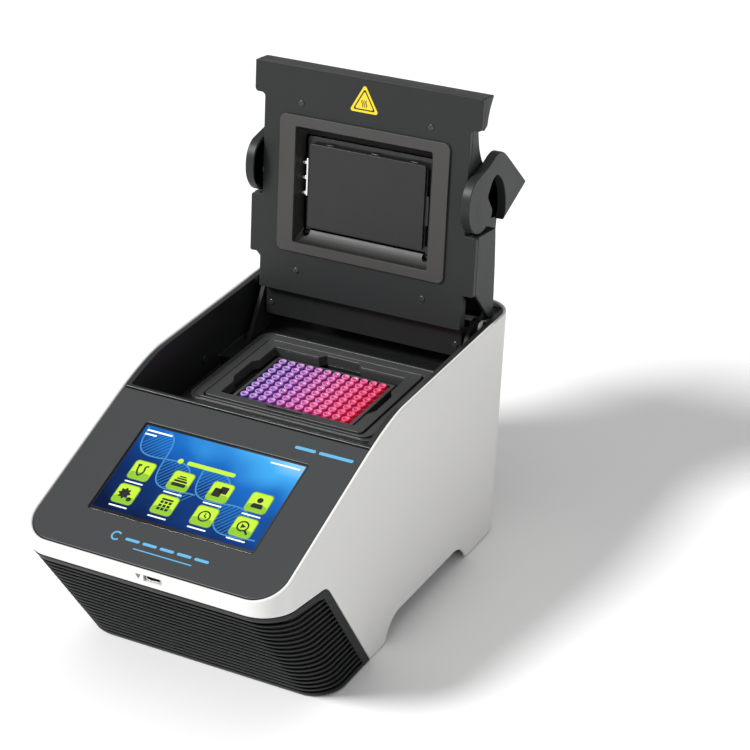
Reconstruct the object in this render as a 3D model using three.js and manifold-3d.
// Thermal cycler: bench instrument with a hinged heated lid, a folding lid handle,
// a sloping touch-screen panel and a 96-well sample block.
// Millimetres, +Z up. X is across the machine, -Y is the front, the floor is z = 0.
// Shapes are drawn about the middle of the housing; the finished part is then moved
// forward so that the origin is under the middle of the machine with its lid open.
import * as THREE from 'three';
import { mergeVertices } from 'three/addons/utils/BufferGeometryUtils.js';
import Module from 'manifold-3d';

const wasm = await Module();
wasm.setup();

// ---------------------------------------------------------------- driving dimensions
const ORIGIN_Y = 21;                // middle of the open machine, behind the housing's own
const HALF_WIDTH = 120;
const FRONT_Y = -205;
const REAR_TOP_Y = 205;
const FRONT_FOOT_Y = -132;         // the grille slopes back to here at the floor
const REAR_FOOT_Y = 173;
const SHELL_TOP = 204;
const BAND_LOW = 120.5;            // lower edge of the front band
const FRONT_CORNER = 28;
const REAR_CORNER = 24;
const WALL = 3;
const GAP = 0.3;                   // between pieces that touch
const SKIRT_BOTTOM = 1;            // the shell stops just above the floor
const ARCH_TOP = 19.5;

const PANEL_SLOPE = Math.atan(0.367);
const PANEL_TOP_Y = -49;
const PANEL_TOP_Z = 191.3;
const PANEL_LENGTH = 160;
const PANEL_HALF = 116.4;
const PANEL_THICK = 3;
const LIP = 1.2;                   // shell lip stands this far above the panel
const WINDOW_HALF = 77.1;
const WINDOW_FAR = -29.4;          // along the slope from the panel's top edge
const WINDOW_NEAR = -123.6;

const TUB_HALF = 112;              // inner face of the tub walls
const TUB_FRONT_Y = -46.4;
const TUB_REAR_Y = 194;
const TUB_BOTTOM = 144;
const DECK = 157;
const CHANNEL_FLOOR = 146.6;
const BLOCK_Y = 60;                // the sample block is centred here
const BEZEL_TOP = 166.5;
const WELL_PITCH = 9;
const WELL_COLUMNS = 12;
const WELL_ROWS = 8;
const TUBE_TOP = 162.5;

const LID_LEAN = 0.147;            // the open lid leans back by this angle
const LID_Y = 131.6;               // lid frame: origin of the lid's own axes
const LID_Z = 162;
const HINGE_D = 26;                // hinge axis in the lid's axes: depth and height
const HINGE_H = 39.5;
const LID_TOP = 246;
const PIVOT_D = 8;                 // handle pivot in the lid's axes
const PIVOT_H = 149;
const SHAFT_BORE = 4.4;             // radius of the holes round the hinge shaft
const PIVOT_BORE = 5.2;             // radius of the holes round the lever pivots
const NECK_HALF = 99;
const LID_HALF = 110;
const TONGUE_HALF = 99.7;          // the front plate's lower end, which reaches down to the hinge
const TONGUE_LOW = 42.7;
const TONGUE_DEPTH = 9.2;

const LEAN_REAR = (REAR_TOP_Y - REAR_FOOT_Y) / SHELL_TOP;

// ---------------------------------------------------------------- solid helpers
function toSolid(geometry) {
  geometry.deleteAttribute('normal');
  geometry.deleteAttribute('uv');
  const merged = mergeVertices(geometry, 1e-4);
  const mesh = new wasm.Mesh({
    numProp: 3,
    vertProperties: new Float32Array(merged.attributes.position.array),
    triVerts: new Uint32Array(merged.index.array),
  });
  return new wasm.Manifold(mesh);
}

function toGeometry(solid) {
  const mesh = solid.getMesh();
  const geometry = new THREE.BufferGeometry();
  geometry.setAttribute('position', new THREE.BufferAttribute(new Float32Array(mesh.vertProperties), 3));
  geometry.setIndex(new THREE.BufferAttribute(new Uint32Array(mesh.triVerts), 1));
  return geometry;
}

function union(...solids) {
  return solids.reduce((sum, solid) => sum.add(solid));
}

function cut(solid, ...tools) {
  return tools.reduce((rest, tool) => rest.subtract(tool), solid);
}

function box(x0, x1, y0, y1, z0, z1) {
  const geometry = new THREE.BoxGeometry(x1 - x0, y1 - y0, z1 - z0);
  geometry.translate((x0 + x1) / 2, (y0 + y1) / 2, (z0 + z1) / 2);
  return toSolid(geometry);
}

function shapeOf(points) {
  return new THREE.Shape(points.map(([x, y]) => new THREE.Vector2(x, y)));
}

function prismZ(shape, z0, z1, curveSegments = 5) {
  const geometry = new THREE.ExtrudeGeometry(shape, { depth: z1 - z0, bevelEnabled: false, curveSegments });
  geometry.translate(0, 0, z0);
  return toSolid(geometry);
}

// A prism along X whose outline is given as (y, z) points or as a Shape.
function prismX(outline, x0, x1, curveSegments = 5) {
  const shape = outline instanceof THREE.Shape ? outline : shapeOf(outline);
  const geometry = new THREE.ExtrudeGeometry(shape, { depth: x1 - x0, bevelEnabled: false, curveSegments });
  const axes = new THREE.Matrix4().makeBasis(
    new THREE.Vector3(0, 1, 0), new THREE.Vector3(0, 0, 1), new THREE.Vector3(1, 0, 0));
  geometry.applyMatrix4(axes);
  geometry.translate(x0, 0, 0);
  return toSolid(geometry);
}

function roundedShape(x0, x1, y0, y1, r) {
  const shape = new THREE.Shape();
  shape.moveTo(x0 + r, y0);
  shape.lineTo(x1 - r, y0);
  shape.absarc(x1 - r, y0 + r, r, -Math.PI / 2, 0);
  shape.lineTo(x1, y1 - r);
  shape.absarc(x1 - r, y1 - r, r, 0, Math.PI / 2);
  shape.lineTo(x0 + r, y1);
  shape.absarc(x0 + r, y1 - r, r, Math.PI / 2, Math.PI);
  shape.lineTo(x0, y0 + r);
  shape.absarc(x0 + r, y0 + r, r, Math.PI, Math.PI * 1.5);
  return shape;
}

function roundedPlate(x0, x1, y0, y1, r, z0, z1) {
  return prismZ(roundedShape(x0, x1, y0, y1, r), z0, z1, 4);
}

// A cylinder of radius r from one point to another along one axis.
function rod(axis, r, from, to, a, b, sides = 16, rEnd = r) {
  const geometry = new THREE.CylinderGeometry(rEnd, r, to - from, sides);
  geometry.translate(0, (from + to) / 2, 0);
  if (axis === 'x') {
    geometry.rotateZ(-Math.PI / 2);
    geometry.translate(0, a, b);
  } else if (axis === 'y') {
    geometry.translate(a, 0, b);
  } else {
    geometry.rotateX(Math.PI / 2);
    geometry.translate(a, b, 0);
  }
  return toSolid(geometry);
}

function ring(axis, rOut, rIn, from, to, a, b, sides = 16) {
  const hole = rod(axis, rIn, from - 1, to + 1, a, b, sides);
  return rod(axis, rOut, from, to, a, b, sides).subtract(hole);
}

function sheared(solid, slope) {
  const geometry = toGeometry(solid);
  const shear = new THREE.Matrix4().set(1, 0, 0, 0, 0, 1, slope, 0, 0, 0, 1, 0, 0, 0, 0, 1);
  geometry.applyMatrix4(shear);
  return toSolid(geometry);
}

function movedTo(solid, x, y, z, tilt = 0) {
  const geometry = toGeometry(solid);
  geometry.rotateX(tilt);
  geometry.translate(x, y, z);
  return toSolid(geometry);
}

// A closed skin through equal-length horizontal rings, from the lowest up.
function loft(rings) {
  const count = rings[0].length;
  const positions = rings.flat(2);
  const index = [];
  for (let level = 0; level + 1 < rings.length; level += 1) {
    for (let i = 0; i < count; i += 1) {
      const next = (i + 1) % count;
      const a = level * count + i;
      const b = level * count + next;
      index.push(a, b, b + count, a, b + count, a + count);
    }
  }
  const top = (rings.length - 1) * count;
  for (let i = 1; i + 1 < count; i += 1) {
    index.push(0, i + 1, i);
    index.push(top, top + i, top + i + 1);
  }
  const geometry = new THREE.BufferGeometry();
  geometry.setAttribute('position', new THREE.BufferAttribute(new Float32Array(positions), 3));
  geometry.setIndex(index);
  return toSolid(geometry);
}

// ---------------------------------------------------------------- body outline
// Plan of the housing at one height, drawn in by `inset`.
function planRing(z, frontY, rearY, inset) {
  const half = HALF_WIDTH - inset;
  const front = frontY + inset;
  const rear = rearY - inset;
  const rFront = FRONT_CORNER - inset;
  const rRear = REAR_CORNER - inset;
  const corners = [
    [half - rFront, front + rFront, rFront, -90],
    [half - rRear, rear - rRear, rRear, 0],
    [-half + rRear, rear - rRear, rRear, 90],
    [-half + rFront, front + rFront, rFront, 180],
  ];
  const steps = 4;
  const points = [];
  for (const [cx, cy, r, start] of corners) {
    for (let i = 0; i <= steps; i += 1) {
      const angle = THREE.MathUtils.degToRad(start + (90 * i) / steps);
      points.push([cx + r * Math.cos(angle), cy + r * Math.sin(angle), z]);
    }
  }
  return points;
}

function rearY(z) {
  return REAR_FOOT_Y + LEAN_REAR * z;
}

function frontSlopeY(z) {
  return FRONT_FOOT_Y + (FRONT_Y - FRONT_FOOT_Y) * Math.min(1, z / BAND_LOW);
}

// The whole housing as a solid, from `low` to above the top edge.
function housing(inset, low = SKIRT_BOTTOM) {
  const levels = [low, ...[BAND_LOW, SHELL_TOP + 6].filter((z) => z > low)];
  return loft(levels.map((z) => planRing(z, frontSlopeY(z), rearY(z), inset)));
}

function panelZ(y) {
  return PANEL_TOP_Z + (y - PANEL_TOP_Y) * Math.tan(PANEL_SLOPE);
}

// Side view of everything above the top edge of the shell, lowered by `drop`.
function aboveTopEdge(drop) {
  const shape = new THREE.Shape();
  const bendStart = -62;
  const bendEnd = 8;
  const top = SHELL_TOP - drop;
  const rise = LIP - drop;
  shape.moveTo(-260, panelZ(-260) + rise);
  shape.lineTo(bendStart, panelZ(bendStart) + rise);
  shape.quadraticCurveTo((top - rise - PANEL_TOP_Z) / Math.tan(PANEL_SLOPE) + PANEL_TOP_Y, top, bendEnd, top);
  shape.lineTo(260, top);
  shape.lineTo(260, 260);
  shape.lineTo(-260, 260);
  return prismX(shape, -150, 150, 10);
}

// Side view of the grille's corner of the housing, grown by `gap` on its inner edges.
const GRILLE_APEX_Y = -127;
const GRILLE_APEX_Z = 108;
const GRILLE_FOOT_Y = -65.5;
const GRILLE_APEX_ROUND = 7;

function grilleRegion(gap) {
  const topSlope = (GRILLE_APEX_Z - BAND_LOW) / (GRILLE_APEX_Y - FRONT_Y);
  const backSlope = (GRILLE_FOOT_Y - GRILLE_APEX_Y) / GRILLE_APEX_Z;
  const apexY = GRILLE_APEX_Y + gap;
  const apexZ = GRILLE_APEX_Z + gap;
  const shape = new THREE.Shape();
  shape.moveTo(-260, apexZ + topSlope * (-260 - apexY));
  shape.lineTo(apexY - GRILLE_APEX_ROUND, apexZ - topSlope * GRILLE_APEX_ROUND);
  shape.quadraticCurveTo(apexY, apexZ, apexY + GRILLE_APEX_ROUND * backSlope, apexZ - GRILLE_APEX_ROUND);
  shape.lineTo(apexY + backSlope * (apexZ + 20), -20);
  shape.lineTo(-260, -20);
  return prismX(shape, -150, 150, 5);
}

// ---------------------------------------------------------------- housing pieces
function outerShell() {
  const arch = new THREE.Shape();
  arch.moveTo(-43, -5);
  arch.quadraticCurveTo(-35, ARCH_TOP - 3, -17, ARCH_TOP);
  arch.lineTo(84, ARCH_TOP - 1.5);
  arch.quadraticCurveTo(102, ARCH_TOP - 3, 108, -5);
  const underFront = box(-150, 150, -260, GRILLE_FOOT_Y + 40, -5, SKIRT_BOTTOM + 0.01);
  const rearWindow = sheared(box(-96, 96, REAR_FOOT_Y - 20, REAR_FOOT_Y + 20, 42, 132), LEAN_REAR);
  const usbCut = box(1.5, 18.5, -212, -190, 125.6, 131.4);
  return cut(
    housing(0),
    housing(WALL, -5),
    aboveTopEdge(0),
    grilleRegion(GAP),
    prismX(arch, -150, 150, 6),
    underFront,
    rearWindow,
    usbCut,
  );
}

const SLOT_COUNT = 18;

function frontGrille() {
  const skin = housing(0).intersect(grilleRegion(-0.05)).subtract(housing(WALL, -5));
  const rearLimit = grilleRegion(-9);
  let grille = skin;
  for (let i = 0; i < SLOT_COUNT; i += 1) {
    const t = i / (SLOT_COUNT - 1);
    const zFront = THREE.MathUtils.lerp(112, 7, t);
    const zSide = THREE.MathUtils.lerp(100.5, 7, t);
    const ySide = THREE.MathUtils.lerp(-127, -78, t);
    const yFront = frontSlopeY(zFront);
    const slope = (zSide - zFront) / (ySide - yFront);
    const far = 40;
    const zFar = zSide + slope * (far - ySide);
    const zNear = zFront + slope * (-230 - yFront);
    const slab = prismX([[-230, zNear - 1.1], [far, zFar - 1.1], [far, zFar + 1.1], [-230, zNear + 1.1]], -150, 150);
    grille = grille.subtract(slab.intersect(rearLimit));
  }
  const ribZone = housing(WALL - 0.4, 4).intersect(grilleRegion(-4)).subtract(housing(WALL + 3, -5));
  for (const x of [-60, 0, 60]) {
    grille = grille.add(ribZone.intersect(box(x - 1.2, x + 1.2, -220, -60, 3, 116)));
  }
  return grille;
}

function panelPlace(solid) {
  return movedTo(solid, 0, PANEL_TOP_Y, PANEL_TOP_Z, PANEL_SLOPE);
}

function controlPanel() {
  const shape = new THREE.Shape();
  const r = 25;
  const far = -0.9;
  const near = -PANEL_LENGTH;
  shape.moveTo(-PANEL_HALF, far);
  shape.lineTo(-PANEL_HALF, near + r);
  shape.absarc(-PANEL_HALF + r, near + r, r, Math.PI, Math.PI * 1.5);
  shape.lineTo(PANEL_HALF - r, near);
  shape.absarc(PANEL_HALF - r, near + r, r, Math.PI * 1.5, Math.PI * 2);
  shape.lineTo(PANEL_HALF, far);
  const plate = prismZ(shape, -PANEL_THICK, 0, 8);
  const window = roundedPlate(-WINDOW_HALF, WINDOW_HALF, WINDOW_NEAR, WINDOW_FAR, 2, -10, 10);
  return panelPlace(plate.subtract(window));
}

function displayGlass() {
  const inset = 0.5;
  const x = WINDOW_HALF - inset;
  return panelPlace(roundedPlate(-x, x, WINDOW_NEAR + inset, WINDOW_FAR - inset, 1.6, -2.6, -1));
}

function displayModule() {
  return panelPlace(box(-79, 79, WINDOW_NEAR - 3, WINDOW_FAR + 3, -11, -PANEL_THICK - GAP));
}

function usbPort() {
  const body = box(3, 17, -203.5, -186, 126.4, 130.6);
  return body.subtract(box(4.2, 15.8, -204, -189, 127.6, 129.4));
}

// ---------------------------------------------------------------- tub and block
function upperTub() {
  const walls = housing(WALL + GAP, TUB_BOTTOM)
    .intersect(box(-150, 150, TUB_FRONT_Y - 2, 260, TUB_BOTTOM, 260))
    .subtract(aboveTopEdge(0.8));
  const cavity = roundedPlate(-TUB_HALF, TUB_HALF, TUB_FRONT_Y, TUB_REAR_Y, 3, DECK, 260);
  const sideChannels = [-1, 1].map((side) => box(
    side > 0 ? 99.8 : -TUB_HALF, side > 0 ? TUB_HALF : -99.8, -14, 86, CHANNEL_FLOOR, DECK + 5));
  const well = roundedPlate(-70, 70, BLOCK_Y - 49, BLOCK_Y + 49, 4, TUB_BOTTOM - 5, DECK + 5);
  return cut(walls, cavity, ...sideChannels, well);
}

function blockBezel() {
  const apron = roundedPlate(-91, 91, 1, 131.5, 11, DECK + GAP, BEZEL_TOP - 2.5);
  const step = roundedPlate(-85.5, 85.5, 3.6, 126.5, 9, DECK + GAP, BEZEL_TOP - 1);
  const inner = roundedPlate(-76.4, 76.4, 6.8, 115.5, 4, DECK + GAP, BEZEL_TOP);
  const groove = roundedPlate(-77.4, 77.4, 5.8, 116.5, 5, BEZEL_TOP - 2.2, BEZEL_TOP + 2)
    .subtract(inner);
  return cut(union(apron, step, inner), groove, prismZ(shapeOf(pocketOutline()), DECK - 5, BEZEL_TOP + 5));
}

// The pocket round the block, with a finger notch in the middle of each side.
function pocketOutline() {
  const half = 64.8;
  const front = BLOCK_Y - 44.8;
  const rear = BLOCK_Y + 44.8;
  const right = [
    [16, front - 5], [20, front], [half, front], [half, 36], [69.3, 44.5], [69.3, 73.5], [half, 79],
    [half, rear], [21, rear], [16, rear + 6],
  ];
  return [...right, ...right.map(([x, y]) => [-x, y]).reverse()];
}

function blockSeal() {
  const outer = roundedPlate(-69.6, 69.6, BLOCK_Y - 48.6, BLOCK_Y + 48.6, 3.6, 148, 154.5);
  return outer.subtract(roundedPlate(-58.8, 58.8, BLOCK_Y - 39.3, BLOCK_Y + 39.3, 2, 140, 160));
}

function wellCentres() {
  const centres = [];
  for (let column = 0; column < WELL_COLUMNS; column += 1) {
    for (let row = 0; row < WELL_ROWS; row += 1) {
      const x = (column - (WELL_COLUMNS - 1) / 2) * WELL_PITCH;
      const y = (row - (WELL_ROWS - 1) / 2) * WELL_PITCH;
      centres.push([x, y + BLOCK_Y]);
    }
  }
  return centres;
}

// Small frusta, one at each well centre.
function wellGrid(rTop, rBottom, z0, z1, sides = 6) {
  return wellCentres().map(([x, y]) => rod('z', rBottom, z0, z1, x, y, sides, rTop));
}

function joined(solids) {
  let list = solids;
  while (list.length > 1) {
    const next = [];
    for (let i = 0; i < list.length; i += 2) {
      next.push(i + 1 < list.length ? list[i].add(list[i + 1]) : list[i]);
    }
    list = next;
  }
  return list[0];
}

function sampleBlock() {
  const body = roundedPlate(-58.4, 58.4, BLOCK_Y - 38.9, BLOCK_Y + 38.9, 1.5, 140, 161);
  const tray = roundedPlate(-55.4, 55.4, BLOCK_Y - 36.2, BLOCK_Y + 36.2, 1, 157.4, 170);
  return cut(body, tray, joined(wellGrid(3.1, 1.9, 143.5, 160)));
}

function samplePlate() {
  const sheet = roundedPlate(-54.9, 54.9, BLOCK_Y - 35.8, BLOCK_Y + 35.8, 1, 157.8, 158.8);
  const collars = joined(wellGrid(3.6, 3.6, 158.3, TUBE_TOP));
  const cones = joined(wellGrid(2.5, 1.4, 145, 158.2, 4));
  return union(sheet, collars, cones);
}

// ---------------------------------------------------------------- inside the base
function heatSink() {
  const fins = [];
  for (let i = 0; i < 13; i += 1) {
    const x = -57 + i * 9.5;
    fins.push(box(x - 0.9, x + 0.9, BLOCK_Y - 44, BLOCK_Y + 44, 66, 128));
  }
  return union(box(-62, 62, BLOCK_Y - 46, BLOCK_Y + 46, 127, 135), joined(fins));
}

function peltier(x, y) {
  return box(x - 20, x + 20, y - 18, y + 18, 135 + GAP, 140 - GAP);
}

const FAN_Z = 97;
const FAN_X = 33;
const FAN_Y0 = 108;

function fanFrame(x) {
  const bore = rod('y', 28, FAN_Y0 - 1, FAN_Y0 + 26, x, FAN_Z, 24);
  const frame = box(x - 31, x + 31, FAN_Y0, FAN_Y0 + 25, FAN_Z - 31, FAN_Z + 31).subtract(bore);
  const spokes = union(
    box(x - 29, x + 29, FAN_Y0 + 21, FAN_Y0 + 24, FAN_Z - 2, FAN_Z + 2),
    box(x - 2, x + 2, FAN_Y0 + 21, FAN_Y0 + 24, FAN_Z - 29, FAN_Z + 29),
    rod('y', 11, FAN_Y0 + 20.5, FAN_Y0 + 24, x, FAN_Z, 16),
  );
  return frame.add(spokes);
}

function fanRotor(x) {
  const parts = [rod('y', 11, FAN_Y0 + 3, FAN_Y0 + 20, 0, 0, 16)];
  for (let i = 0; i < 7; i += 1) {
    const geometry = toGeometry(box(9, 26, -6, 6, -0.8, 0.8));
    geometry.rotateX(0.6);
    geometry.translate(0, FAN_Y0 + 11.5, 0);
    geometry.rotateY((i / 7) * Math.PI * 2);
    parts.push(toSolid(geometry));
  }
  return movedTo(joined(parts), x, 0, FAN_Z);
}

function powerSupply() {
  return box(-104, -14, 10, 120, 26, 60);
}

function mainBoard() {
  const board = box(-4, 104, -40, 130, 26, 27.6);
  return union(board, box(20, 48, -10, 22, 27, 36), box(60, 92, 40, 90, 27, 44), box(10, 40, 80, 112, 27, 33));
}

function chassisPlate() {
  const plate = housing(WALL + 0.4, ARCH_TOP + 0.5).intersect(box(-150, 150, -113, 260, ARCH_TOP + 0.5, 23));
  const vents = [];
  for (let i = 0; i < 8; i += 1) {
    vents.push(box(-50, 50, BLOCK_Y - 39 + i * 11, BLOCK_Y - 35 + i * 11, 0, 40));
  }
  return cut(plate, ...vents);
}

function rubberFoot(x, y) {
  return rod('z', 11, 0, ARCH_TOP + 0.2, x, y, 20, 12.5);
}

function rearPanel() {
  const plate = box(-98, 98, REAR_FOOT_Y - 6, REAR_FOOT_Y - 3.4, 40, 134);
  const vents = [];
  for (let i = 0; i < 9; i += 1) {
    const z = 72 + i * 6.4;
    vents.push(box(-84, -6, REAR_FOOT_Y - 10, REAR_FOOT_Y, z, z + 3));
    vents.push(box(6, 84, REAR_FOOT_Y - 10, REAR_FOOT_Y, z, z + 3));
  }
  const inlet = box(46, 78, REAR_FOOT_Y - 10, REAR_FOOT_Y, 44, 66);
  const rocker = box(20, 36, REAR_FOOT_Y - 10, REAR_FOOT_Y, 44, 66);
  const ports = box(-80, -46, REAR_FOOT_Y - 10, REAR_FOOT_Y, 46, 62);
  return sheared(cut(plate, ...vents, inlet, rocker, ports), LEAN_REAR);
}

function powerInlet() {
  const y = REAR_FOOT_Y;
  const body = box(46.4, 77.6, y - 30, y - 2.4, 44.4, 65.6);
  const mouth = roundedInY(50, 74, 47.5, 62.5, 3, y - 20, y);
  const pins = union(...[-7, 0, 7].map((x) => {
    const low = x === 0 ? 57 : 51;
    return box(61 + x, 63 + x, y - 21, y - 7, low, low + 4);
  }));
  return sheared(body.subtract(mouth).add(pins), LEAN_REAR);
}

function roundedInY(x0, x1, z0, z1, r, y0, y1) {
  const geometry = new THREE.ExtrudeGeometry(roundedShape(x0, x1, z0, z1, r),
    { depth: y1 - y0, bevelEnabled: false, curveSegments: 3 });
  geometry.rotateX(Math.PI / 2);
  geometry.translate(0, y1, 0);
  return toSolid(geometry);
}

function dataPort() {
  const y = REAR_FOOT_Y;
  const body = box(-79.6, -46.4, y - 24, y - 2.6, 46.4, 61.6);
  return sheared(cut(body, box(-77, -64, y - 18, y, 48.5, 59.5), box(-61, -55.5, y - 18, y, 48, 60),
    box(-53.5, -48, y - 18, y, 48, 60)), LEAN_REAR);
}

// Rocker of the mains switch, a shallow V that tilts about its pivot.
const ROCKER_Z = 55;

function powerSwitch() {
  const outline = [[-9, -8.8], [-2.6, -8.8], [-1.2, 0], [1.6, 8.8], [-9, 8.8], [-13, 3], [-13, -3]];
  const rocker = prismX(outline, 20.8, 35.2);
  return movedTo(rocker, 0, rearY(ROCKER_Z) - 1.6, ROCKER_Z);
}

// ---------------------------------------------------------------- hinge and catches
function lidPoint(d, h) {
  return {
    y: LID_Y + h * Math.sin(LID_LEAN) + d * Math.cos(LID_LEAN),
    z: LID_Z + h * Math.cos(LID_LEAN) - d * Math.sin(LID_LEAN),
  };
}

const hinge = lidPoint(HINGE_D, HINGE_H);
const BRACKET_OUT = 104.1;         // outer face of the wall brackets
const EAR_IN = 104.4;              // the lid's ears turn just outside them
const EAR_OUT = 106.4;

function hingeBracket(side) {
  const shape = new THREE.Shape();
  const base = DECK + GAP;
  shape.moveTo(118.5, base);
  shape.lineTo(148, hinge.z);
  shape.quadraticCurveTo(154, hinge.z + 7, hinge.y, hinge.z + 8);
  shape.absarc(hinge.y, hinge.z, 8, Math.PI / 2, -0.1, true);
  shape.lineTo(hinge.y + 22, base);
  const plate = prismX(shape, 100.4, BRACKET_OUT, 6);
  const bored = plate.subtract(rod('x', SHAFT_BORE, 99, 106, hinge.y, hinge.z, 20));
  return side > 0 ? bored : mirrored(bored);
}

function mirrored(solid) {
  const geometry = toGeometry(solid);
  geometry.applyMatrix4(new THREE.Matrix4().makeScale(-1, 1, 1));
  const index = geometry.index.array;
  for (let i = 0; i < index.length; i += 3) {
    [index[i], index[i + 1]] = [index[i + 1], index[i]];
  }
  return toSolid(geometry);
}

function wallCatch(side) {
  const boss = rod('x', 4, 109.4, TUB_HALF - GAP, 62, 164, 14);
  return side > 0 ? boss : mirrored(boss);
}

// ---------------------------------------------------------------- lid, in its own axes
// x across, y = depth behind the front face, z = height up the open lid.
function lidOutline(inset) {
  const halves = [
    [TONGUE_HALF - inset, TONGUE_LOW + inset], [TONGUE_HALF - inset, 74.2 + inset], [LID_HALF - inset, 74.2 + inset],
    [LID_HALF - inset, 127 - inset], [NECK_HALF - inset, 127 - inset], [NECK_HALF - inset, 218 + inset],
    [LID_HALF - 1 - inset, 218 + inset], [LID_HALF - 1 - inset, LID_TOP - inset],
  ];
  const left = halves.map(([x, h]) => [-x, h]).reverse();
  return [...halves, ...left];
}

function plateInLid(outline, d0, d1) {
  const shape = shapeOf(outline);
  const geometry = new THREE.ExtrudeGeometry(shape, { depth: d1 - d0, bevelEnabled: false });
  geometry.rotateX(Math.PI / 2);
  geometry.translate(0, d1, 0);
  return toSolid(geometry);
}

function lidFrame() {
  const opening = roundedInY(-68, 68, 88.4, 196, 3, -5, 10);
  const pivots = rod('x', PIVOT_BORE, -120, 120, PIVOT_D, PIVOT_H, 20);
  const wall = 2.7;
  const inner = TONGUE_HALF - wall;
  const tongue = union(
    box(-TONGUE_HALF, TONGUE_HALF, 4, TONGUE_DEPTH, TONGUE_LOW, TONGUE_LOW + wall),
    box(inner, TONGUE_HALF, 4, TONGUE_DEPTH, TONGUE_LOW, 70),
    box(-TONGUE_HALF, -inner, 4, TONGUE_DEPTH, TONGUE_LOW, 70),
  );
  return cut(union(plateInLid(lidOutline(0), 0, 4.7), tongue), opening, pivots);
}

// Rear face of the lid in side view, from the hinge end to the grip.
const COVER_BACK = [
  [42.5, 46], [42.5, 61], [46, 75], [53, 90], [58, 105], [60.5, 119], [61.2, 132], [61, 144], [58, 156],
  [51.9, 167.5], [42, 175.5], [30.6, 182.2], [25.4, 186.7], [21.3, 193.5], [18.2, 201], [15.6, 211.8], [13.5, 220],
];
const COVER_FRONT = 5;

function coverProfile(inset, low, high) {
  const back = COVER_BACK.map(([d, h]) => [d - inset, h]);
  const [rimDepth] = back[back.length - 1];
  return [[COVER_FRONT - 2 * (inset > 0), low], [37.4 - inset, 44.2 + inset], ...back, [rimDepth, high],
    [COVER_FRONT - 2 * (inset > 0), high]];
}

function lidCover() {
  const skirtProfile = [[COVER_FRONT, 75.5], [8.2, 72.5], [37.4, 44.2], [42.5, 46], [41.4, 61], [40, 88], [37.5, 116],
    [36, 127], [COVER_FRONT, 127]];
  const gripProfile = [[COVER_FRONT, 218], [10.5, 221.3], [11.9, 228], [13.8, 234.3], [16.4, 239.7], [20, 245],
    [18.6, LID_TOP], [COVER_FRONT, LID_TOP]];
  const core = prismX(coverProfile(0, 76, 220), -NECK_HALF, NECK_HALF);
  const skirt = prismX(skirtProfile, -LID_HALF, LID_HALF);
  const grip = prismX(gripProfile, -LID_HALF + 1, LID_HALF - 1);
  const coreHollow = prismX(coverProfile(2.6, 79, 214), -NECK_HALF + 3, NECK_HALF - 3);
  const skirtHollow = prismX([[COVER_FRONT - 2, 79], [10, 74], [38, 46], [39.5, 48], [37.4, 88], [33, 124],
    [COVER_FRONT - 2, 124]], -LID_HALF + 2.7, LID_HALF - 2.7);
  const hingeMouth = prismX([[-2, 79], [-2, 30], [33, 30], [38, 46.4], [36.6, 79]], -LID_HALF + 2.7, LID_HALF - 2.7);
  const shaftBore = rod('x', SHAFT_BORE, -120, 120, HINGE_D, HINGE_H, 20);
  const hub = hingeEars();
  const pivots = rod('x', PIVOT_BORE, -120, 120, PIVOT_D, PIVOT_H, 20);
  const body = union(core, skirt, grip).subtract(union(coreHollow, skirtHollow, hingeMouth));
  return cut(body.add(hub), shaftBore, pivots);
}

// Ears under the skirt that carry the hinge shaft, each with a foot that joins it to the skirt's side.
function hingeEars() {
  const shape = new THREE.Shape();
  shape.moveTo(HINGE_D - 3, HINGE_H + 5.6);
  shape.absarc(HINGE_D, HINGE_H, 6.4, Math.PI * 0.66, Math.PI * 1.75);
  shape.lineTo(HINGE_D + 13, HINGE_H + 4.5);
  shape.lineTo(HINGE_D + 13, HINGE_H + 22);
  const ear = union(
    prismX(shape, EAR_IN, EAR_OUT, 6),
    box(EAR_IN, LID_HALF - 1, 34, 40, 53, 61),
  );
  return union(ear, mirrored(ear));
}

function heaterFrame() {
  const flange = roundedInY(-82, 82, 81.4, 203.8, 6, -2.2, -GAP);
  const sleeve = roundedInY(-67.6, 67.6, 88.8, 195.6, 2.6, -2.2, 8.6);
  const opening = roundedInY(-66.2, 66.2, 90.2, 194.2, 2, -5, 30);
  return union(flange, sleeve).subtract(opening);
}

function hingePlate() {
  return box(-97.5, 97.5, 9.5, 12, 15, 71);
}

function screwInLid(x, d, h, radius, length) {
  const head = rod('y', radius, d - 1.2, d, x, h, 12);
  const slot = box(x - radius * 0.5, x + radius * 0.5, d - 2, d - 0.7, h - 0.4, h + 0.4);
  const shank = rod('y', radius * 0.5, d - 0.1, d + length, x, h, 8);
  return head.add(shank).subtract(slot);
}

// A rod behind the carrier that keeps it square as it moves.
function guideRod(x, h) {
  return rod('y', 2.2, CARRIER_D + 2.5 + GAP, GUIDE_END, x, h, 10);
}

const HEATER_D = 6;                // front of the heated plate behind the lid's face
const CARRIER_D = 12.3;
const GUIDE_END = 30;
const ROD_X = 59;
const ROD_LOW = 98;
const ROD_HIGH = 172;

function platenCarrier() {
  return roundedInY(-65, 65, 92.5, 182, 3, CARRIER_D, CARRIER_D + 2.5);
}

function heaterPlate() {
  return roundedInY(-56.5, 56.5, 104.5, 178.5, 2, HEATER_D, HEATER_D + 4);
}

function heaterMat() {
  return roundedInY(-54, 54, 107, 176, 2, HEATER_D + 4 + GAP, CARRIER_D - GAP);
}

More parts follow.
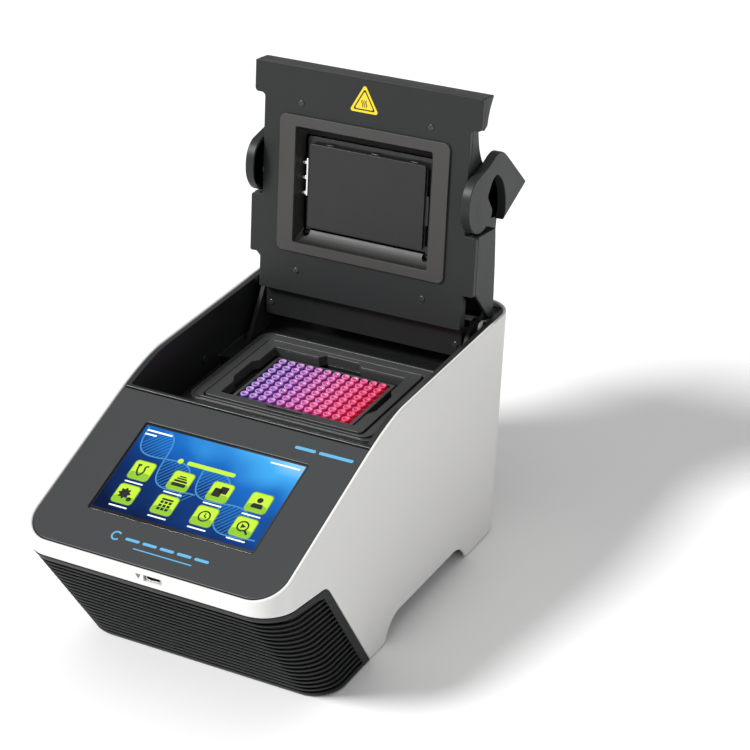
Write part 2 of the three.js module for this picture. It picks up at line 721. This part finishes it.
// ---------------------------------------------------------------- lid handle
// Side outline of one lever in the lid's axes: a lobe round the pivot that fans out to a broad tail.
function leverShape() {
  const shape = new THREE.Shape();
  shape.moveTo(53, 129.3);
  shape.quadraticCurveTo(57.5, 133.5, 56.6, 141);
  shape.quadraticCurveTo(53.5, 158, 44.5, 168);
  shape.quadraticCurveTo(36, 177, 28, 169);
  shape.quadraticCurveTo(20.5, 161, 22, 157);
  shape.quadraticCurveTo(32.5, 147, 31, 142.5);
  shape.quadraticCurveTo(27, 131.5, 12, 129.4);
  shape.quadraticCurveTo(-8, 130, -13.5, 152);
  shape.quadraticCurveTo(-12.5, 172, 8, 180);
  shape.quadraticCurveTo(22, 185, 29, 190);
  shape.quadraticCurveTo(37, 195, 48, 190.5);
  shape.lineTo(94, 154.5);
  return shape;
}

const LEVER_IN = 100.4;
const LEVER_OUT = 108.6;

function lever(side) {
  const plate = prismX(leverShape(), LEVER_IN, LEVER_OUT, 5);
  const bored = plate.subtract(rod('x', PIVOT_BORE, 90, 120, PIVOT_D, PIVOT_H, 20));
  return side > 0 ? bored : mirrored(bored);
}

function leverPivot(side) {
  const shank = rod('x', 4.8, 96.5, 108.2, PIVOT_D, PIVOT_H, 20);
  const collar = rod('x', 7, 99 + GAP, LEVER_IN - GAP, PIVOT_D, PIVOT_H, 20);
  const pin = union(shank, collar);
  return side > 0 ? pin : mirrored(pin);
}

function handleBar() {
  const shape = new THREE.Shape();
  shape.moveTo(74, 147);
  shape.lineTo(84, 151);
  shape.quadraticCurveTo(91, 155, 84.5, 160.5);
  shape.lineTo(77, 166);
  shape.quadraticCurveTo(72, 165.6, 71.5, 156);
  const limit = LEVER_IN - GAP;
  return prismX(shape, -limit, limit, 5);
}

// ---------------------------------------------------------------- materials and assembly
function finish(color, roughness, metalness = 0) {
  return () => new THREE.MeshStandardMaterial({ color, roughness, metalness });
}

const look = {
  shell: finish(0xcfceca, 0.45),
  grille: finish(0x34373a, 0.55),
  panel: finish(0x46494a, 0.5),
  glass: finish(0x1b4fa0, 0.12),
  black: finish(0x1b1c1d, 0.35),
  lid: finish(0x474848, 0.5),
  heaterFrame: finish(0x585957, 0.6),
  heaterPlate: finish(0x3b3c3b, 0.4, 0.3),
  bezel: finish(0x5a5c5c, 0.45),
  rubber: finish(0x1a1a1a, 0.85),
  block: finish(0x9a9c9e, 0.35, 0.9),
  aluminium: finish(0xb4b6b8, 0.4, 0.9),
  steel: finish(0xb9bbbd, 0.3, 0.95),
  ceramic: finish(0xeeeee8, 0.6),
  board: finish(0x1f5a38, 0.5),
  tubes: finish(0xc8479f, 0.3),
};

const cycler = new THREE.Group();
const lid = new THREE.Group();
lid.rotation.x = -LID_LEAN;
lid.position.set(0, LID_Y, LID_Z);
cycler.add(lid);

function put(parent, name, solid, material) {
  const mesh = new THREE.Mesh(toGeometry(solid), material());
  mesh.name = name;
  parent.add(mesh);
}

put(cycler, 'outer_shell', outerShell(), look.shell);
put(cycler, 'front_grille', frontGrille(), look.grille);
put(cycler, 'control_panel', controlPanel(), look.panel);
put(cycler, 'display_glass', displayGlass(), look.glass);
put(cycler, 'display_module', displayModule(), look.steel);
put(cycler, 'usb_port', usbPort(), look.steel);
put(cycler, 'upper_tub', upperTub(), look.black);
put(cycler, 'block_bezel', blockBezel(), look.bezel);
put(cycler, 'block_seal', blockSeal(), look.rubber);
put(cycler, 'sample_block', sampleBlock(), look.block);
put(cycler, 'sample_plate', samplePlate(), look.tubes);
put(cycler, 'heat_sink', heatSink(), look.aluminium);
put(cycler, 'main_board', mainBoard(), look.board);
put(cycler, 'power_supply', powerSupply(), look.aluminium);
put(cycler, 'chassis_plate', chassisPlate(), look.steel);
put(cycler, 'rear_panel', rearPanel(), look.black);
put(cycler, 'power_inlet', powerInlet(), look.black);
put(cycler, 'data_port', dataPort(), look.steel);
put(cycler, 'power_switch', powerSwitch(), look.black);

for (const [i, [x, y]] of [[-24, -19], [24, -19], [-24, 19], [24, 19]].entries()) {
  put(cycler, `peltier_${i + 1}`, peltier(x, BLOCK_Y + y), look.ceramic);
}
for (const [i, [x, y]] of [[-98, -88], [98, -88], [-98, 140], [98, 140]].entries()) {
  put(cycler, `rubber_foot_${i + 1}`, rubberFoot(x, y), look.rubber);
}
for (const [sideName, side] of [['left', -1], ['right', 1]]) {
  put(cycler, `fan_frame_${sideName}`, fanFrame(side * FAN_X), look.black);
  put(cycler, `fan_rotor_${sideName}`, fanRotor(side * FAN_X), look.black);
  put(cycler, `hinge_bracket_${sideName}`, hingeBracket(side), look.black);
  put(cycler, `wall_catch_${sideName}`, wallCatch(side), look.black);
}

put(lid, 'lid_frame', lidFrame(), look.lid);
put(lid, 'lid_cover', lidCover(), look.lid);
put(lid, 'heater_frame', heaterFrame(), look.heaterFrame);
put(lid, 'hinge_plate', hingePlate(), look.black);
put(lid, 'hinge_shaft', rod('x', 4, -109.6, 109.6, HINGE_D, HINGE_H, 20), look.steel);
put(lid, 'platen_carrier', platenCarrier(), look.steel);
put(lid, 'heater_mat', heaterMat(), look.rubber);
put(lid, 'heater_plate', heaterPlate(), look.heaterPlate);
put(lid, 'handle_bar', handleBar(), look.lid);

for (const [i, [x, h]] of [[-62.4, 214.5], [62.4, 214.5], [-62.4, 64.1], [62.4, 64.1]].entries()) {
  put(lid, `lid_screw_${i + 1}`, screwInLid(x, -GAP, h, 2.6, 0), look.black);
}
for (const [i, x] of [-92, 92].entries()) {
  put(lid, `hinge_plate_screw_${i + 1}`, screwInLid(x, 9.5 - GAP, 26, 2.6, 0), look.black);
}
for (const [i, [x, h]] of [[-1, ROD_LOW], [1, ROD_LOW], [-1, ROD_HIGH], [1, ROD_HIGH]].entries()) {
  put(lid, `guide_rod_${i + 1}`, guideRod(x * ROD_X, h), look.steel);
}
for (const [sideName, side] of [['left', -1], ['right', 1]]) {
  const from = side > 0 ? EAR_OUT + GAP : -EAR_OUT - GAP - 3.9;
  put(lid, `hinge_spring_${sideName}`, ring('x', 8, 4.6, from, from + 3.9, HINGE_D, HINGE_H, 16), look.steel);
  put(lid, `lever_${sideName}`, lever(side), look.lid);
  put(lid, `lever_pivot_${sideName}`, leverPivot(side), look.steel);
}

const part = new THREE.Group();
part.add(cycler);
cycler.position.y = -ORIGIN_Y;

export default part;
